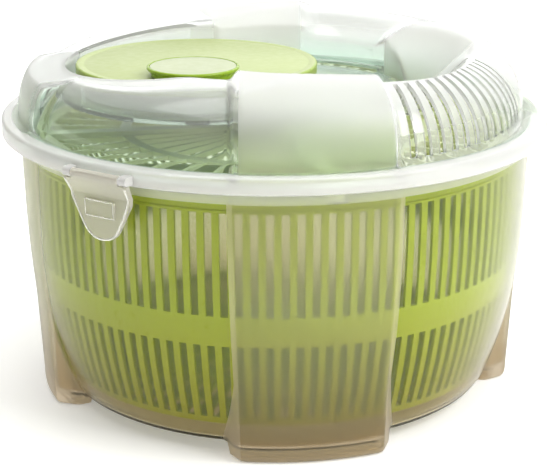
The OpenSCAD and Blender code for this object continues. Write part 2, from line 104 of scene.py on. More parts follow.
def smooth_min(a, b, k):
    return -smooth_max(-a, -b, k)


def mix(a, b, t):
    return a + (b - a) * t


def polar(r, angle, z):
    """Points from radius, angle and height arrays of one shape."""
    return np.stack([r * np.cos(angle), r * np.sin(angle), z * np.ones_like(r)], axis=-1)


# ---- Meshes --------------------------------------------------------------------------------------

def make_piece(name, verts, faces, sharp=35):
    mesh = bpy.data.meshes.new(name)
    mesh.from_pydata((np.asarray(verts) * MM).tolist(), [], faces)
    mesh.validate()
    mesh.update()
    for polygon in mesh.polygons:
        polygon.use_smooth = True
    mesh.set_sharp_from_angle(angle=math.radians(sharp))
    piece = bpy.data.objects.new(name, mesh)
    bpy.context.scene.collection.objects.link(piece)
    return piece


def shell(name, outer, inner, keep=None, slots=None, sharp=35, inside=None):
    """A closed wall between two grids of points, rows by columns, wrapped round in columns.
    keep says which cells are wall and which are holes; slots gives each cell's material slot,
    inside the slot of the inner face where it differs."""
    rows, cols = outer.shape[:2]
    if keep is None:
        keep = np.ones((rows - 1, cols), bool)
    if slots is None:
        slots = np.zeros((rows - 1, cols), int)
    verts = np.concatenate([outer.reshape(-1, 3), inner.reshape(-1, 3)])
    half = rows * cols
    faces, marks = [], []
    for i in range(rows - 1):
        for j in range(cols):
            if not keep[i, j]:
                continue
            n = (j + 1) % cols
            a, b, c, d = i * cols + j, i * cols + n, (i + 1) * cols + n, (i + 1) * cols + j
            quads = [(a, b, c, d), (a + half, d + half, c + half, b + half)]
            if i == 0 or not keep[i - 1, j]:
                quads.append((b, a, a + half, b + half))
            if i == rows - 2 or not keep[i + 1, j]:
                quads.append((d, c, c + half, d + half))
            if not keep[i, n]:
                quads.append((c, b, b + half, c + half))
            if not keep[i, j - 1]:
                quads.append((a, d, d + half, a + half))
            faces += quads
            mark = int(slots[i, j])
            marks += [mark, mark if inside is None else inside] + [mark] * (len(quads) - 2)
    used = np.unique(np.array(faces))
    renumber = np.full(len(verts), -1)
    renumber[used] = np.arange(len(used))
    faces = renumber[np.array(faces)].tolist()
    piece = make_piece(name, verts[used], faces, sharp)
    for polygon, mark in zip(piece.data.polygons, marks):
        polygon.material_index = mark
    return piece


def lathe(name, profile, centre, cols=144):
    """A turned piece. The profile's points are (radius, height)."""
    angle = np.arange(cols) * 2 * PI / cols
    verts, faces, rings = [], [], []
    for r, z in profile:
        if r < 1e-6:
            rings.append([len(verts)])
            verts.append((centre[0], centre[1], z))
        else:
            rings.append(list(range(len(verts), len(verts) + cols)))
            verts += [(centre[0] + r * math.cos(a), centre[1] + r * math.sin(a), z) for a in angle]
    for low, high in zip(rings, rings[1:]):
        for j in range(cols):
            n = (j + 1) % cols
            quad = [low[j % len(low)], low[n % len(low)], high[n % len(high)], high[j % len(high)]]
            face = list(dict.fromkeys(quad))
            if len(face) > 2:
                faces.append(face)
    return make_piece(name, verts, faces)


# ---- Materials -----------------------------------------------------------------------------------

def material(name):
    """A new node material with its shader, its tree and an object-coordinate source."""
    mat = bpy.data.materials.new(name)
    mat.use_nodes = True
    tree = mat.node_tree
    shader = tree.nodes["Principled BSDF"]
    coords = tree.nodes.new("ShaderNodeTexCoord")
    return mat, tree, shader, coords.outputs["Object"]


def noise(tree, coords, scale, detail=3.0):
    node = tree.nodes.new("ShaderNodeTexNoise")
    node.inputs["Scale"].default_value = scale
    node.inputs["Detail"].default_value = detail
    tree.links.new(coords, node.inputs["Vector"])
    return node.outputs["Fac"]


def height_of(tree, coords):
    node = tree.nodes.new("ShaderNodeSeparateXYZ")
    tree.links.new(coords, node.inputs["Vector"])
    return node.outputs["Z"]


def ramp(tree, source, low, high, span=(0.3, 0.7)):
    """Colours low to high as source goes over span."""
    node = tree.nodes.new("ShaderNodeValToRGB")
    node.color_ramp.elements[0].position, node.color_ramp.elements[1].position = span
    node.color_ramp.elements[0].color = (*low, 1)
    node.color_ramp.elements[1].color = (*high, 1)
    tree.links.new(source, node.inputs["Fac"])
    return node.outputs["Color"]


def remap(tree, source, low, high, span=(0.3, 0.7)):
    """Values low to high as source goes over span."""
    node = tree.nodes.new("ShaderNodeMapRange")
    node.inputs["From Min"].default_value, node.inputs["From Max"].default_value = span
    node.inputs["To Min"].default_value, node.inputs["To Max"].default_value = low, high
    tree.links.new(source, node.inputs["Value"])
    return node.outputs["Result"]


def bump(tree, shader, source, strength, distance):
    node = tree.nodes.new("ShaderNodeBump")
    node.inputs["Strength"].default_value = strength
    node.inputs["Distance"].default_value = distance
    tree.links.new(source, node.inputs["Height"])
    tree.links.new(node.outputs["Normal"], shader.inputs["Normal"])


def set_milk(tree, shader, height, low, high):
    """How much light the plastic scatters instead of letting through. High is None, or (milk, from
    height, to height) where the milk grows upwards and whitens the top as a painted highlight.
    Heights are in metres."""
    shader.inputs["Transmission Weight"].default_value = 1.0 - low
    if high:
        let_through = remap(tree, height, 1.0 - low, 1.0 - high[0], high[1:])
        tree.links.new(let_through, shader.inputs["Transmission Weight"])


def clear_plastic(name, low_colour, high_colour, rough, milk, ior, span=(0.0, 0.07), crest_highlight_milk=None):
    """Clear moulded plastic. Its colour goes from low_colour to high_colour over span, two heights in
    metres. The ramp paints light: on the bowl the low colour is a painted reflection of a brown table,
    on the lid's parts the whiter high colour a painted highlight along the crest.
    """
    mat, tree, shader, coords = material(name)
    height = height_of(tree, coords)
    tree.links.new(ramp(tree, height, low_colour, high_colour, span), shader.inputs["Base Color"])
    tree.links.new(remap(tree, noise(tree, coords, 60.0), rough, rough + 0.03), shader.inputs["Roughness"])
    bump(tree, shader, noise(tree, coords, 18.0, 1.0), 0.08, 0.001)
    set_milk(tree, shader, height, milk, crest_highlight_milk)
    shader.inputs["IOR"].default_value = ior
    return mat


def frosted_plastic(name, low_colour, high_colour, rough, milk, span=(0.0, 0.07), crest_highlight_milk=None):
    """Frosted plastic: what lies behind it shows through as a blur."""
    mat, tree, shader, coords = material(name)
    height = height_of(tree, coords)
    # The height ramp paints light: low on the feet a painted reflection of a brown table, high on the lid's
    # bands a painted highlight along the crest.
    tree.links.new(ramp(tree, height, low_colour, high_colour, span), shader.inputs["Base Color"])
    tree.links.new(remap(tree, noise(tree, coords, 40.0), rough - 0.01, rough + 0.02),
                   shader.inputs["Roughness"])
    set_milk(tree, shader, height, milk, crest_highlight_milk)
    shader.inputs["IOR"].default_value = 1.3
    return mat


def coloured_plastic(name, low, high, rough):
    """Coloured moulded plastic with faint flow marks and a fine grain."""
    mat, tree, shader, coords = material(name)
    tree.links.new(ramp(tree, noise(tree, coords, 16.0, 4.0), low, high), shader.inputs["Base Color"])
    tree.links.new(remap(tree, noise(tree, coords, 300.0, 3.0), rough - 0.06, rough + 0.08),
                   shader.inputs["Roughness"])
    bump(tree, shader, noise(tree, coords, 1800.0, 2.0), 0.03, 0.0001)
    return mat


def steel(name):
    mat, tree, shader, coords = material(name)
    stretch = tree.nodes.new("ShaderNodeMapping")
    stretch.inputs["Scale"].default_value = (1.0, 1.0, 30.0)
    tree.links.new(coords, stretch.inputs["Vector"])
    grain = noise(tree, stretch.outputs["Vector"], 120.0, 4.0)
    tree.links.new(ramp(tree, grain, (0.5, 0.5, 0.52), (0.68, 0.68, 0.7)), shader.inputs["Base Color"])
    tree.links.new(remap(tree, grain, 0.22, 0.4), shader.inputs["Roughness"])
    shader.inputs["Metallic"].default_value = 1.0
    return mat


def paint(piece, *mats):
    """Gives a piece its materials. A piece without any keeps its faces' slot numbers."""
    if piece.data.materials:
        piece.data.materials.clear()
    for mat in mats:
        piece.data.materials.append(mat)


# ---- Bowl ----------------------------------------------------------------------------------------

def bowl_wall_r(z):
    return BOWL_R - BOWL_DROP * (np.maximum(0.0, BOWL_TOP_Z - z) / BOWL_DROP_H) ** 3


def foot_face_r(z):
    return mix(FOOT_R, FOOT_TOP_R, np.clip(z / FOOT_TOP_Z, 0, 1))


def foot_corner(z):
    """Angle from a foot panel's middle to its edge, at height z."""
    return np.arcsin(mix(FOOT_HALF_W, FOOT_TOP_HALF_W, np.clip(z / FOOT_TOP_Z, 0, 1)) / foot_face_r(z))


def foot_side_reach(z):
    corner = foot_corner(z)
    return foot_face_r(z) * np.cos(FOOT_SIDE - corner)


def foot_root_angle(z):
    """Angle from a foot panel's middle to where its side wall meets the round body."""
    return FOOT_SIDE - np.arccos(np.clip(foot_side_reach(z) / bowl_wall_r(np.maximum(z, 7.0)), -1, 1))


def quarter_columns(edges, counts):
    """Columns of one quarter turn, given the angles that bound its zones and each zone's cell count."""
    parts = []
    for low, high, count in zip(edges, edges[1:], counts):
        t = np.arange(count) / count
        parts.append(mix(low[:, None], high[:, None], t[None, :]))
    return np.concatenate(parts, axis=1)


def bowl_angles(z):
    """Column angles for rows at heights z, and each column's material slot: 0 for the round body,
    1 for a panel and 3 for its side walls, whose whiter plastic is a painted highlight. The columns
    follow the panels' edges."""
    corner, root = foot_corner(z), np.maximum(foot_root_angle(z), foot_corner(z) + 0.02)
    right = np.full_like(z, PI / 2)
    zero = np.zeros_like(z)
    counts = (14, 5, 44, 5, 14)
    quarter = quarter_columns([zero, corner, root, right - root, right - corner, right], counts)
    zones = np.repeat([1, 3, 0, 3, 1], counts)
    angles = np.concatenate([quarter + k * PI / 2 for k in range(4)], axis=1)
    return angles, np.tile(zones, 4)


def from_panel(angle):
    """Angle from the nearest foot panel's middle."""
    return np.abs((angle + PI / 4) % (PI / 2) - PI / 4)


def panel_r(z, angle, corner):
    """Radius of a foot panel's face and of its side walls, rounded over a width corner where they meet."""
    side = foot_side_reach(z)[:, None] / np.cos(FOOT_SIDE - from_panel(angle))
    return smooth_min(foot_face_r(z)[:, None] * np.ones_like(angle), side, corner)


def bowl_surface_r(z, angle):
    body = bowl_wall_r(z)[:, None] * np.ones_like(angle)
    return smooth_max(body, panel_r(z, angle, 1.2), 1.6)


def build_bowl():
    wall_z = np.concatenate([[9.6], np.linspace(12, 116, 43), [117.6, 118.6, 120, 122, 124, 125.2]])
    floor_rows, low_rows = 8, 16
    z = np.concatenate([np.full(low_rows, 6.0), wall_z, np.full(5, 127.0)])
    angle, zones = bowl_angles(z)
    surface = bowl_surface_r(z, angle)
    panel = smooth_step((panel_r(z, angle, 1.0)[0] - 105.5) / 3.0)
    base_r = surface[0]
    one = np.ones_like(base_r)
    inner_floor = FLOOR_Z + BOWL_WALL
    # Rows of (outer radius, outer height, inner radius, inner height), floor first
    rows = [(0.6, FLOOR_Z, 0.6, 12.0), (6.3, FLOOR_Z, 6.3, 12.0), (7.0, FLOOR_Z, 7.0, 11.3),
            (8.0, FLOOR_Z, 8.0, inner_floor + 0.4), (9.0, FLOOR_Z, 9.0, inner_floor),
            (40.0, FLOOR_Z, 40.0, inner_floor), (70.0, FLOOR_Z, 70.0, inner_floor),
            (95.0, FLOOR_Z, 95.0, inner_floor)]
    rows = [tuple(v * one for v in row) for row in rows]
    # The round body's bottom corner and the feet's, outside and inside, mixed by the panel's mask.
    # The feet's are (distance in from the panel, height).
    body = [(98.5, 4.0), (100.2, 4.25), (101.6, 4.7), (102.3, 5.1),
            (102.9, 5.6), (103.4, 6.2), (103.7, 6.8), (103.9, 7.4)]
    skirt = [(9.2, 4.0), (8.8, 0.4), (8.4, 0.0)] + list(FOOT_ROUND)
    body_in = [(97.5, 5.8), (99.0, 5.9), (100.2, 6.3), (100.7, 6.6),
               (101.2, 6.9), (101.6, 7.2), (102.0, 7.6), (102.2, 8.0)]
    skirt_in = [(12.0, 5.8), (10.0, 5.8), (8.0, 5.8), (6.2, 5.9),
                (4.8, 6.2), (3.6, 6.8), (2.6, 7.7), (2.0, 8.8)]
    for (r, h), (back, up), (r_in, h_in), (back_in, up_in) in zip(body, skirt, body_in, skirt_in):
        rows.append((mix(r, base_r - back, panel), mix(h, up, panel),
                     mix(r_in, base_r - back_in, panel), mix(h_in, up_in, panel)))
    outer = [polar(r, angle[i], h) for i, (r, h, _, _) in enumerate(rows)]
    inner = [polar(r, angle[i], h) for i, (_, _, r, h) in enumerate(rows)]
    for i, height in enumerate(wall_z):
        k = low_rows + i
        r = surface[k]
        outer.append(polar(r, angle[k], height * one))
        inner.append(polar(r - BOWL_WALL, angle[k], (height + 0.4) * one))
    rim_rows = [(BOWL_R + 0.3, 126.3, BOWL_R - BOWL_WALL, 127.4),
                (BOWL_R + 1.6, 127.1, BOWL_R - BOWL_WALL, 128.4),
                (FLANGE_R - 0.4, 127.2, BOWL_R - BOWL_WALL + 0.5, 128.9), (FLANGE_R, 127.6, 122.0, RIM_Z),
                (FLANGE_R, 128.6, FLANGE_R - 0.4, RIM_Z)]
    for i, (r, h, r_in, h_in) in enumerate(rim_rows):
        k = low_rows + len(wall_z) + i
        outer.append(polar(r * one, angle[k], h * one))
        inner.append(polar(r_in * one, angle[k], h_in * one))
    outer, inner = np.array(outer), np.array(inner)
    slots = np.tile(zones, (len(outer) - 1, 1))
    slots[:floor_rows] = 0
    slots[low_rows + len(wall_z) - 4:] = 2
    return shell("bowl_moulding", outer, inner, slots=slots)


# ---- Basket --------------------------------------------------------------------------------------

def basket_wall_r(z):
    h = BASKET_TOP_Z - BASKET_BASE_Z
    return BASKET_R - BASKET_DROP * (np.clip(BASKET_TOP_Z - z, 0, h) / h) ** 3


def build_basket():
    pitch = 2 * PI / SLOTS
    cell = np.concatenate([np.array([0, 0.5]) * SLOT_SHARE,
                           SLOT_SHARE + np.array([0, 0.25, 0.5, 0.75]) * (1 - SLOT_SHARE)])
    angle = ((np.arange(SLOTS)[:, None] + cell[None, :]).reshape(-1) + SLOT_SHARE / 2) * pitch
    in_slot = np.tile([True, True, False, False, False, False], SLOTS)
    wall_z = np.array([14.0, 15.6, LOWER_ROW[0], 20, 24, 28, 33, 38, 43, 49, LOWER_ROW[1], 57.5, 61, 64.5,
                       UPPER_ROW[0], 74, 81, 89, 98, 107, UPPER_ROW[1], 115.1, 116.0, 116.5, 118.6, 120,
                       121.4])
    lip = np.where((wall_z > 114.8) & (wall_z < 116.2), 0.55, 0.0)
    one = np.ones_like(angle)
    inner_base = BASKET_BASE_Z + BASKET_WALL
    # Floor rows of (outer radius, outer height, inner radius, inner height)
    floor_rows = [(6.05, BASKET_BASE_Z, 6.05, 26.0), (11.0, BASKET_BASE_Z, 11.6, 26.0),
                  (12.0, BASKET_BASE_Z, 12.2, 25.6),
                  (19.0, BASKET_BASE_Z, 20.5, inner_base + 1.0), (22.0, BASKET_BASE_Z, 22.6, inner_base)]
    floor_rows += [(r, BASKET_BASE_Z, r, inner_base) for r in (28, 50, 56, 76, 81, 97)]
    floor_rows += [(100.2, BASKET_BASE_Z, 99.3, inner_base),
                   (101.9, BASKET_BASE_Z + 0.5, 100.4, inner_base + 0.5)]
    outer = [polar(r * one, angle, h * one) for r, h, _, _ in floor_rows]
    inner = [polar(r * one, angle, h * one) for _, _, r, h in floor_rows]
    for height, proud in zip(wall_z, lip):
        r = basket_wall_r(height)
        outer.append(polar((r + proud) * one, angle, height * one))
        inner.append(polar((r - BASKET_WALL) * one, angle, max(height, inner_base + 1.2) * one))
    outer.append(polar((BASKET_R - 0.25) * one, angle, (BASKET_TOP_Z - 0.1) * one))
    inner.append(polar((BASKET_R - BASKET_WALL + 0.25) * one, angle, (BASKET_TOP_Z - 0.1) * one))
    outer, inner = np.array(outer), np.array(inner)
    first = len(floor_rows)
    keep = np.ones((len(outer) - 1, len(angle)), bool)
    # Notches in the top edge for the cover's dogs
    notch = np.abs((np.degrees(angle) - ARM_TURN + 45) % 90 - 45) < NOTCH_HALF
    for i in range(len(wall_z) - 1):
        middle = (wall_z[i] + wall_z[i + 1]) / 2
        if any(low < middle < high for low, high in (LOWER_ROW, UPPER_ROW)):
            keep[first + i] = ~in_slot
        if middle > 118.6:
            keep[first + i:] &= ~notch
    # Three rings of openings in the floor
    column = np.arange(len(angle))
    for row, period, opening in ((5, 30, 9), (7, 12, 5), (9, 12, 4)):
        keep[row] = column % period >= opening
    # The inner faces take the second material, a darker green: painted shade inside the basket.
    return shell("basket_moulding", outer, inner, keep=keep, inside=1)


# ---- Lid -----------------------------------------------------------------------------------------

def well_edge(angle):
    """Distance from the bowl's axis to the well's edge in a direction."""
    along = OFFSET_X * np.cos(angle)
    disc_side = along + np.sqrt(along ** 2 - OFFSET_X ** 2 + WELL_R ** 2)
    along = SCOOP_AT[0] * np.cos(angle) + SCOOP_AT[1] * np.sin(angle)
    off2 = SCOOP_AT[0] ** 2 + SCOOP_AT[1] ** 2
    scoop_side = along + np.sqrt(along ** 2 - off2 + SCOOP_LOW_R ** 2)
    return np.maximum(np.maximum(disc_side, HOLLOW_R), scoop_side)


def scoop_z(x, y, grow):
    """Height of the cone that is scooped out of the dome beside the disc."""
    away = np.hypot(x - SCOOP_AT[0], y - SCOOP_AT[1]) - grow / 2
    return WELL_FLOOR_Z - grow + (away - SCOOP_LOW_R) * SCOOP_H / (SCOOP_TOP_R - SCOOP_LOW_R)


def band_edge(r):
    """Angle from a band's middle to its edge, at radius r."""
    (low_r, low_half), (high_r, high_half) = BAND_LOW, BAND_HIGH
    half = mix(high_half, low_half, (r - high_r) / (low_r - high_r))
    return np.arcsin(np.clip(half / r, 0, 1))


def far_side(angle):
    """1 for the right and the back band, 0 for the front and the left one."""
    return smooth_step(0.5 + (np.sin(angle) + np.cos(angle)) * 4)


def border_half(r, angle):
    """Half the angle over which a band runs out into its windows."""
    return (BORDER + FAR_BORDER * far_side(angle)) / r


def lid_columns(r):
    """Column angles for rows whose radii near each column are r, and each column's zone.
    Zone 1 is a band, 2 a plain stretch of window, 3 a drain slot."""
    zones = [1] * BAND_CELLS + [2] * EDGE_CELLS
    for _ in range(DRAINS):
        zones += [2] * BAR_CELLS + [3] * SLOT_CELLS
    zones += [2] * BAR_CELLS + [2] * EDGE_CELLS + [1] * BAND_CELLS
    # Whole numbers are the bounds of the five parts of a quarter turn
    parts = (BAND_CELLS, EDGE_CELLS, WINDOW_CELLS, EDGE_CELLS, BAND_CELLS)
    share = np.concatenate([k + np.arange(count) / count for k, count in enumerate(parts)])
    cols = len(share)
    angle = np.zeros((r.shape[0], cols * 4))
    for k in range(4):
        radius = r[:, k * cols:(k + 1) * cols]
        edge = band_edge(radius)
        soft = border_half(radius, (share / len(parts) + k) * PI / 2)
        bounds = [np.zeros_like(edge), edge - soft, edge + soft, PI / 2 - edge - soft, PI / 2 - edge + soft,
                  np.full_like(edge, PI / 2)]
        for part in range(len(parts)):
            pick = (share >= part) & (share < part + 1)
            t = (share - part)[pick]
            low, high = bounds[part][:, pick], bounds[part + 1][:, pick]
            angle[:, k * cols:(k + 1) * cols][:, pick] = mix(low, high, t) + k * PI / 2
    return angle, np.tile(zones, 4)


def lid_top_limit(x):
    return LEFT_TOP_Z + (x - LEFT_TOP_X) * math.tan(TOP_TILT)


def dome_point(share, angle, radius_hint, inset):
    """Radius, height and band mask of the dome's surface, a share of the way from the ledge to the
    well's edge."""
    edge = band_edge(radius_hint)
    soft = border_half(radius_hint, angle)
    mask = 1 - smooth_step((from_panel(angle) - edge + soft) / (2 * soft))
    back = smooth_step(0.5 + np.sin(angle) * 4)
    back_band = smooth_step((np.sin(angle) - 0.7) * 20)
    reach = mix(TUBE_R, mix(BAND_REACH, FAR_REACH, far_side(angle)), mask) - inset
    rise = mix(mix(TUBE_R, BACK_RISE, back), mix(BAND_RISE, BACK_BAND_RISE, back_band), mask) - inset
    power = mix(2.0, mix(BAND_POWER, FAR_POWER, far_side(angle)), mask)
    stop = well_edge(angle) + inset
    c = (stop - CREST_R) / reach
    end = np.arccos(np.sign(c) * np.abs(c) ** (power / 2))
    a = end * share
    r = CREST_R + reach * np.sign(np.cos(a)) * np.abs(np.cos(a)) ** (2 / power)
    z = TUBE_Z + rise * np.abs(np.sin(a)) ** (2 / power)
    x, y = r * np.cos(angle), r * np.sin(angle)
    z = smooth_min(z, lid_top_limit(x) - inset, 1.5)
    z = smooth_min(z, np.maximum(scoop_z(x, y, inset), WELL_FLOOR_Z - inset), 2.0)
    return r, z, mask


def build_lid():
    share = np.concatenate([[0.03, 0.05], np.linspace(0.07, 0.975, 58), [0.99]])
    count = 4 * (2 * BAND_CELLS + 2 * EDGE_CELLS + WINDOW_CELLS)
    hint = np.repeat((CREST_R + TUBE_R * np.cos(share * 2.3))[:, None], count, axis=1)
    # The columns follow the radii and the radii follow the columns, so both settle in a few rounds
    for _ in range(4):
        angle, zones = lid_columns(hint)
        r, z, mask = dome_point(share[:, None], angle, hint, 0.0)
        hint = r
    r_in, z_in, _ = dome_point(share[:, None], angle, hint, LID_WALL)
    low_angle, top_angle = angle[0], angle[-1]
    end_r, end_z = well_edge(top_angle), z[-1]
    one = np.ones(count)
    band = mask[0]
    # Bead, ledge and the groove round the windows: (outer radius, height, inner radius, height)
    rows = [(BEAD_R - 2, SKIRT_Z, BEAD_R - 2, SEAT_Z), (BEAD_R - 1.7, SKIRT_Z - 0.1, 127.4, SEAT_Z),
            (BEAD_R - 0.4, SKIRT_Z - 0.1, 126.6, SEAT_Z), (BEAD_R, SKIRT_Z + 0.3, 125.8, SEAT_Z),
            (BEAD_R, LEDGE_Z - 1.7, 124.5, SEAT_Z), (BEAD_R - 0.3, LEDGE_Z - 0.7, 122.5, SEAT_Z),
            (BEAD_R - 1.0, LEDGE_Z - 0.1, 120.5, SEAT_Z), (BEAD_R - 1.9, LEDGE_Z, 118.6, SEAT_Z)]
    rows = [tuple(v * one for v in row) for row in rows]
    rows += [(mix(124.0, 125.0, band), LEDGE_Z * one, PLUG_R * one, (SEAT_Z - 0.6) * one),
             (mix(122.4, 123.4, band), LEDGE_Z * one, PLUG_R * one, (PLUG_Z + 0.3) * one),
             (mix(120.6, 122.6, band), mix(LEDGE_Z - 0.7, LEDGE_Z + 0.05, band),
              (PLUG_R - 0.3) * one, PLUG_Z * one),
             (mix(119.0, 122.2, band), mix(LEDGE_Z - 1.8, LEDGE_Z + 0.2, band),
              (PLUG_R - 1.7) * one, PLUG_Z * one),
             (mix(117.4, 122.0, band), mix(LEDGE_Z - 2.2, LEDGE_Z + 0.5, band),
              (PLUG_R - 2) * one, (PLUG_Z + 0.3) * one)]
    outer = [polar(ro, low_angle, zo) for ro, zo, _, _ in rows]
    inner = [polar(ri, low_angle, zi) for _, _, ri, zi in rows]
    lift = smooth_step((0.1 - share) / 0.1)[:, None]
    r = np.where(share[:, None] < 0.1, np.minimum(r, mix(116.4, 122.0, mask)), r)
    z = mix(z, np.maximum(z, mix(LEDGE_Z - 2.0, LEDGE_Z + 0.9, mask)), lift)
    for i in range(len(share)):
        outer.append(polar(r[i], angle[i], z[i]))
        inner.append(polar(r_in[i], angle[i], z_in[i]))
    # Edge of the well, its wall and its floor
    drop = np.maximum(end_z - WELL_FLOOR_Z, 0.4)
    wall_steps = ((0.03, 0.35, 0.06), (0.08, 0.0, 0.12), (0.4, 0.0, 0.4), (0.7, 0.0, 0.7), (0.93, 0.0, 0.95))
    for t, out, t_in in wall_steps:
        outer.append(polar(end_r + out, top_angle, WELL_FLOOR_Z + drop * (1 - t)))
        inner.append(polar(end_r + 2, top_angle, WELL_FLOOR_Z - 2 + drop * (1 - t_in)))
    for r_share, dz, dz_in in ((0.995, 0.25, -1.6), (0.97, 0.0, -2.0), (0.7, 0.0, -2.0), (0.4, 0.0, -2.0)):
        outer.append(polar(end_r * r_share, top_angle, (WELL_FLOOR_Z + dz) * one))
        thick = LID_WALL if r_share > 0.99 else 0
        inner.append(polar(end_r * r_share + thick, top_angle, (WELL_FLOOR_Z + dz_in) * one))
    outer.append(polar(6.0 * one, top_angle, WELL_FLOOR_Z * one))
    inner.append(polar(6.0 * one, top_angle, (WELL_FLOOR_Z - 2) * one))
    outer, inner = np.array(outer), np.array(inner)
    keep = np.ones((len(outer) - 1, count), bool)
    radius = np.hypot(outer[..., 0], outer[..., 1])
    height = outer[..., 2]
    turn = np.arctan2(outer[..., 1], outer[..., 0])[:-1]
    front_right = np.abs(turn + PI / 4) < PI / 4
    drain = np.tile(zones == 3, (len(outer) - 1, 1)) & front_right
    first = len(rows)
    outside = (radius[:-1] > DRAIN_OUT_R) & (height[:-1] > LEDGE_Z + 0.3)
    inside = (radius[:-1] < DRAIN_IN[1]) & (height[1:] > DRAIN_IN_Z) & (radius[1:] > DRAIN_IN[0])
    above = np.zeros_like(keep)
    above[first:] = True
    keep &= ~(drain & above & (outside | inside))
    # Slots: 0 the plain windows and the well, 1 the bands, 2 the bead, 3 the drain window
    slots = np.tile(np.where(zones == 1, 1, 0), (len(outer) - 1, 1))
    slots[first - 3:][(slots[first - 3:] == 0) & front_right[first - 3:]] = 3
    slots[:first - 5] = 2
    slots[first + len(share) + 5:] = 0
    return shell("lid_moulding", outer, inner, keep=keep, slots=slots, sharp=40)


# ---- Turned pieces -------------------------------------------------------------------------------

def round_edge(r, z, size, start, stop, count=5):
    """Points of a rounded corner of a profile, its centre at (r, z)."""
    return [(r + size * math.cos(a), z + size * math.sin(a))
            for a in np.radians(np.linspace(start, stop, count))]


def round_node(node):
    """Centre, radius, bottom and top of a round node of the frame."""
    low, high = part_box(node)
    centre = ((low.x + high.x) / 2 / MM, (low.y + high.y) / 2 / MM)
    return centre, (high.x - low.x) / 2 / MM, low.z / MM, high.z / MM


def build_disc():
    (centre_x, _), r, _, top = round_node("crank_disc")
    profile = [(0.0, top - 2.6), (r - 2.2, top - 2.6), (r - 2.2, top - 4.6), (r - 0.2, top - 4.6)]
    profile += [(r, top - 4.4), (r, top - 1.2)] + round_edge(r - 1.0, top - 1.0, 1.0, 0, 90)
    profile += [(r - 3.0, top), (r - 3.6, top - 0.25), (r - 4.4, top - 0.25), (r - 5.0, top), (4.4, top),
                (4.2, top - 0.2), (4.2, top - 1.6), (1.8, top - 1.6)]
    profile += [(1.8, top - 2.6), (0.0, top - 2.61)]
    plate = lathe("crank_disc_plate", profile, (centre_x, 0.0), 192)
    # The edge is a darker green: painted shade of the gap round the disc
    for polygon in plate.data.polygons:
        away = math.hypot(polygon.center.x / MM - centre_x, polygon.center.y / MM)
        polygon.material_index = int(away > r - 1.3)
    return plate


def build_knob():
    centre, r, bottom, top = round_node("knob")
    neck, cap_r = r - 2.0, r - 1.2
    profile = [(3.2, bottom), (neck - 0.5, bottom), (neck, bottom + 0.3)]
    profile += [(mix(neck, r - 0.1, t * t), bottom + 0.3 + (top - bottom - 1.5) * t)
                for t in np.linspace(0.1, 1, 10)]
    profile += round_edge(r - 0.8, top - 0.8, 0.8, 0, 90)
    profile += [(cap_r + 0.15, top), (cap_r, top - 0.15), (cap_r, top - 1.0)]
    profile += [(6.3, top - 1.0), (6.3, top - 2.2), (3.2, top - 2.2), (3.2, bottom)]
    return lathe("knob_body", profile, centre)


def build_knob_cap():
    centre, r, bottom, top = round_node("knob_cap")
    profile = [(0.0, bottom), (r - 0.1, bottom), (r - 0.1, top - 0.4)]
    profile += round_edge(r - 0.5, top - 0.4, 0.4, 0, 90, 4) + [(r * 0.6, top - 0.1), (0.0, top - 0.25)]
    return lathe("knob_cap_plate", profile, centre)


# ---- Latches -------------------------------------------------------------------------------------

def turned(points, turn):
    """Points given as (outward, sideways, up), turned about the bowl's axis."""
    x, y, z = np.array(points, float).T
    c, s = math.cos(turn), math.sin(turn)
    return np.stack([x * c - y * s, x * s + y * c, z], axis=1)


def build_lugs():
    """The lugs on the bead that hold the latches' pins."""
    side = [(LUG_ROOT_X, PIN_Z - 1.9), (PIN_X, PIN_Z - 1.9)] + round_edge(PIN_X, PIN_Z, KNUCKLE_R, -80, 80, 9)
    side += [(PIN_X, PIN_Z + KNUCKLE_R), (LUG_ROOT_X, PIN_Z + KNUCKLE_R)]
    verts, faces = [], []
    for turn in LATCH_TURNS:
        for middle in (-LATCH_HALF_W + LUG_W / 2, LATCH_HALF_W - LUG_W / 2):
            start, n = len(verts), len(side)
            for y in (middle - LUG_W / 2, middle + LUG_W / 2):
                verts += turned([(x, y, z) for x, z in side], turn).tolist()
            faces += [[start + i, start + n + i, start + n + (i + 1) % n, start + (i + 1) % n]
                      for i in range(n)]
            faces += [list(range(start, start + n)), list(range(start + 2 * n - 1, start + n - 1, -1))]
    return make_piece("latch_lugs", verts, faces)


def latch_face_x(z):
    """How far a latch's face stands from the bowl's axis at height z."""
    return np.interp(z, (98, 120.5, 126, 129.6), (129.5, 130.2, 133.3, 134.3))


def rounded_line(points):
    """An open line through points, in even steps, with its corners rounded."""
    points = np.array(points)
    t = np.linspace(0, len(points) - 1, 90)
    line = np.stack([np.interp(t, np.arange(len(points)), points[:, k]) for k in (0, 1)], axis=1)
    for _ in range(6):
        line[1:-1] = (line[:-2] + 2 * line[1:-1] + line[2:]) / 4
    return line


def closed_line(corners):
    """A closed line round corners, each side in 8 steps."""
    corners = np.array(corners)
    step = np.linspace(0, 1, 8, endpoint=False)[:, None]
    return np.concatenate([mix(a, b, step) for a, b in zip(corners, np.roll(corners, -1, axis=0))])


def rim_tube(line, closed, size, lift):
    """A tube along a line of (sideways, up) points, lifted from a latch's face."""
    along = np.gradient(line, axis=0)
    along /= np.linalg.norm(along, axis=1)[:, None]
    verts, faces, sides, count = [], [], 8, len(line)
    for (y, z), (ty, tz) in zip(line, along):
        for a in np.arange(sides) * 2 * PI / sides:
            out, across = size * math.cos(a), size * math.sin(a)
            verts.append((latch_face_x(z) + lift + out, y - tz * across, z + ty * across))
    for i in range(count if closed else count - 1):
        n = (i + 1) % count
        for k in range(sides):
            m = (k + 1) % sides
            faces.append([i * sides + k, i * sides + m, n * sides + m, n * sides + k])
    if not closed:
        faces += [list(range(sides - 1, -1, -1)), list(range((count - 1) * sides, count * sides))]
    return verts, faces


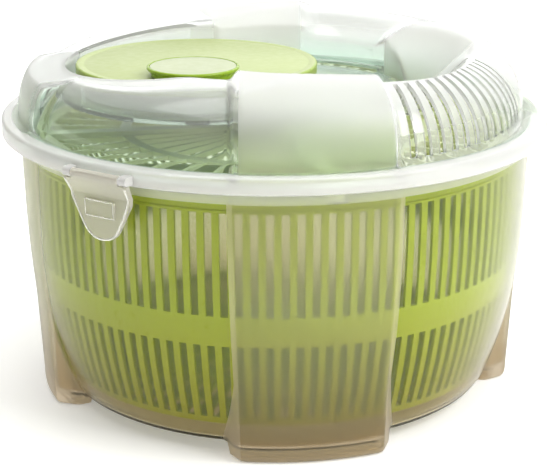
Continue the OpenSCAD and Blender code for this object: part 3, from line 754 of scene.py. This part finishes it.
def build_latch_rim(name, turn):
    """The raised rim round a latch's outline and round its catch."""
    tip_z, half = PIN_Z - KNUCKLE_R - LATCH_LEN + TIP_R, LATCH_HALF_W
    path = [(-half + 0.9, 126.6), (-half + 1.5, 122), (-half + 1.8, 118)]
    path += [(9.8 * math.cos(a), tip_z + 8.5 * math.sin(a)) for a in np.radians(np.linspace(205, 335, 17))]
    path += [(half - 1.8, 118), (half - 1.5, 122), (half - 0.9, 126.6)]
    catch = [(-7.6, 111.5), (7.6, 111.5), (7.6, 118.5), (-7.6, 118.5)]
    verts, faces = rim_tube(rounded_line(path), False, 0.55, -0.1)
    catch_verts, catch_faces = rim_tube(closed_line(catch), True, 0.25, 1.0)
    faces += [[len(verts) + v for v in face] for face in catch_faces]
    return make_piece(name, turned(verts + catch_verts, turn), faces)


# ---- Scene ---------------------------------------------------------------------------------------

def build_camera():
    """The camera stands 750 mm from the bowl's axis, 8.7 degrees to the left of the front foot."""
    turn, pitch, far, height = math.radians(8.7), math.radians(17.586), 0.750, 0.3078
    data = bpy.data.cameras.new("camera")
    data.lens, data.sensor_width = 104.45, 36.0
    camera = bpy.data.objects.new("camera", data)
    camera.location = (-far * math.sin(turn), -far * math.cos(turn), height)
    camera.rotation_euler = (PI / 2 - pitch, 0, -turn)
    bpy.context.scene.collection.objects.link(camera)
    bpy.context.scene.camera = camera


def area_light(name, at, aim, size, power):
    data = bpy.data.lights.new(name, "AREA")
    data.shape, data.size, data.size_y = "RECTANGLE", size[0], size[1]
    data.energy = power
    lamp = bpy.data.objects.new(name, data)
    lamp.location = at
    lamp.rotation_euler = (Vector(aim) - Vector(at)).to_track_quat("-Z", "Y").to_euler()
    bpy.context.scene.collection.objects.link(lamp)


def build_stage():
    mesh = bpy.data.meshes.new("floor")
    half = 12.0
    corners = [(-half, -half, 0), (half, -half, 0), (half, half, 0), (-half, half, 0)]
    mesh.from_pydata(corners, [], [(0, 1, 2, 3)])
    floor = bpy.data.objects.new("floor", mesh)
    bpy.context.scene.collection.objects.link(floor)
    mat, tree, shader, coords = material("floor_paint")
    pale = ramp(tree, noise(tree, coords, 2.0), (0.93, 0.93, 0.93), (0.95, 0.95, 0.95))
    tree.links.new(pale, shader.inputs["Base Color"])
    shader.inputs["Roughness"].default_value = 0.8
    shader.inputs["Specular IOR Level"].default_value = 0.1
    shader.inputs["Emission Color"].default_value = (1, 1, 1, 1)
    shader.inputs["Emission Strength"].default_value = 0.28
    paint(floor, mat)
    build_sky()
    area_light("key", (0.9, -0.7, 1.0), (0, 0, 0.08), (0.8, 0.8), 13)
    area_light("overhead", (-0.2, -0.1, 1.6), (0, 0, 0.1), (1.2, 1.2), 9)
    area_light("window", (0.3, 1.3, 0.8), (0, 0, 0.1), (1.6, 0.9), 3)


def build_sky():
    """Soft studio sky: white, a little darker at the front left."""
    world = bpy.data.worlds.new("studio")
    world.use_nodes = True
    tree = world.node_tree
    coords = tree.nodes.new("ShaderNodeTexCoord")
    across = tree.nodes.new("ShaderNodeVectorMath")
    across.operation = "DOT_PRODUCT"
    across.inputs[1].default_value = (0.55, 0.6, 0.58)
    tree.links.new(coords.outputs["Generated"], across.inputs[0])
    tree.links.new(ramp(tree, across.outputs["Value"], (0.34, 0.32, 0.26), (1.0, 1.0, 1.0), (-0.15, 0.75)),
                   tree.nodes["Background"].inputs["Color"])
    bpy.context.scene.world = world


bpy.context.scene.view_settings.view_transform = "Standard"
build_camera()
build_stage()

# Brown and darker towards the bottom: a painted reflection of a brown table under the bowl.
clear = clear_plastic("clear_bowl", (0.78, 0.68, 0.46), (0.9, 0.92, 0.72), 0.18, 0.0, 1.25)
# The lid's clear plastic turns whiter and milkier towards the crest: a painted highlight along its top.
clear_lid = clear_plastic("clear_lid", (0.83, 0.98, 0.9), (0.985, 1.0, 0.995), 0.04, 0.1, 1.45,
                          (0.139, 0.154), (0.34, 0.15, 0.168))
# The drain bars turn whiter and milkier towards the crest: a painted highlight along their top.
clear_bars = clear_plastic("drain_bars", (0.95, 0.99, 0.94), (0.99, 1.0, 1.0), 0.05, 0.2, 1.45,
                           (0.134, 0.15), (0.5, 0.14, 0.163))
# The feet's frosted plastic turns brown and darker towards the bottom: a painted reflection of a brown table.
frosted = frosted_plastic("frosted_panel", (0.62, 0.5, 0.32), (0.88, 0.88, 0.66), 0.32, 0.06)
# A whiter, milkier copy of the frosted plastic for the feet's side walls: a painted highlight along them,
# with the painted table reflection low down.
frosted_side_painted_light = frosted_plastic("frosted_side_painted_light", (0.72, 0.6, 0.42), (0.94, 0.9, 0.74), 0.34, 0.15)
frosted_rim = frosted_plastic("frosted_rim", (0.95, 0.97, 0.88), (0.95, 0.97, 0.88), 0.3, 0.3)
# The bands turn whiter and milkier towards the crest: a painted highlight along their top.
frosted_lid = frosted_plastic("frosted_band", (0.82, 0.95, 0.78), (0.99, 1.0, 0.99), 0.34, 0.1,
                              (0.132, 0.156), (0.42, 0.14, 0.167))
bead_white = frosted_plastic("bead_plastic", (0.96, 0.97, 0.95), (0.97, 0.97, 0.96), 0.2, 0.45)
latch_clear = frosted_plastic("latch_plastic_look", (0.9, 0.88, 0.8), (0.92, 0.9, 0.82), 0.3, 0.3)
rim_white = frosted_plastic("rim_plastic_look", (0.95, 0.96, 0.9), (0.96, 0.97, 0.91), 0.25, 0.45)
basket_green = coloured_plastic("basket_plastic", (0.48, 0.57, 0.04), (0.53, 0.62, 0.055), 0.32)
cover_green = coloured_plastic("cover_plastic", (0.84, 0.9, 0.5), (0.9, 0.95, 0.56), 0.35)
disc_green = coloured_plastic("disc_plastic", (0.43, 0.51, 0.21), (0.47, 0.55, 0.24), 0.42)
# The disc's edge, a darker green: painted shade of the gap round the disc.
disc_edge_shade = coloured_plastic("disc_rim_painted_shade", (0.3, 0.42, 0.05), (0.34, 0.46, 0.07), 0.3)
cap_green = coloured_plastic("cap_plastic", (0.44, 0.5, 0.29), (0.48, 0.54, 0.32), 0.36)
knob_green = coloured_plastic("knob_plastic", (0.27, 0.42, 0.015), (0.3, 0.46, 0.02), 0.25)
# A darker green for the basket's inner faces: painted shade inside the basket.
basket_painted_shade = coloured_plastic("basket_painted_shade_plastic", (0.27, 0.36, 0.045), (0.31, 0.4, 0.055), 0.4)
white = coloured_plastic("white_plastic", (0.75, 0.76, 0.72), (0.82, 0.83, 0.79), 0.35)
metal = steel("stainless_steel")

pieces = [("bowl", "bowl", "bowl_plastic", build_bowl(), (clear, frosted, frosted_rim, frosted_side_painted_light)),
          ("basket", "basket", "basket_plastic", build_basket(), (basket_green, basket_painted_shade)),
          ("lid_shell", "lid", "lid_plastic", build_lid(), (clear_lid, frosted_lid, bead_white, clear_bars)),
          ("crank_disc", "crank", "disc_plastic", build_disc(), (disc_green, disc_edge_shade)),
          ("knob", "knob", "knob_plastic", build_knob(), (knob_green,)),
          ("knob_cap", "knob", "disc_plastic", build_knob_cap(), (cap_green,))]
for node, body, slot, piece, looks in pieces:
    paint(piece, *looks)
    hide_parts(node)
    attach(piece, body)

lugs = build_lugs()
paint(lugs, bead_white)
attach(lugs, "lid")

for body, turn in zip(("latch_front", "latch_back"), LATCH_TURNS):
    rim = build_latch_rim(body + "_rim", turn)
    paint(rim, rim_white)
    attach(rim, body)

cad_looks = {cover_green: ("basket_cover", "cover_hub"),
             latch_clear: ("latch_front", "latch_back"),
             metal: ("bowl_pivot_pin", "pinion_shaft", "shaft_circlip", "disc_axle", "disc_washer",
                     "disc_screw", "knob_pin", "latch_pins"),
             white: ("basket_pivot_cup", "drive_pinion", "shaft_bush", "ring_gear", "disc_bush")}
for look, nodes in cad_looks.items():
    for node in nodes:
        paint(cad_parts[node], look)
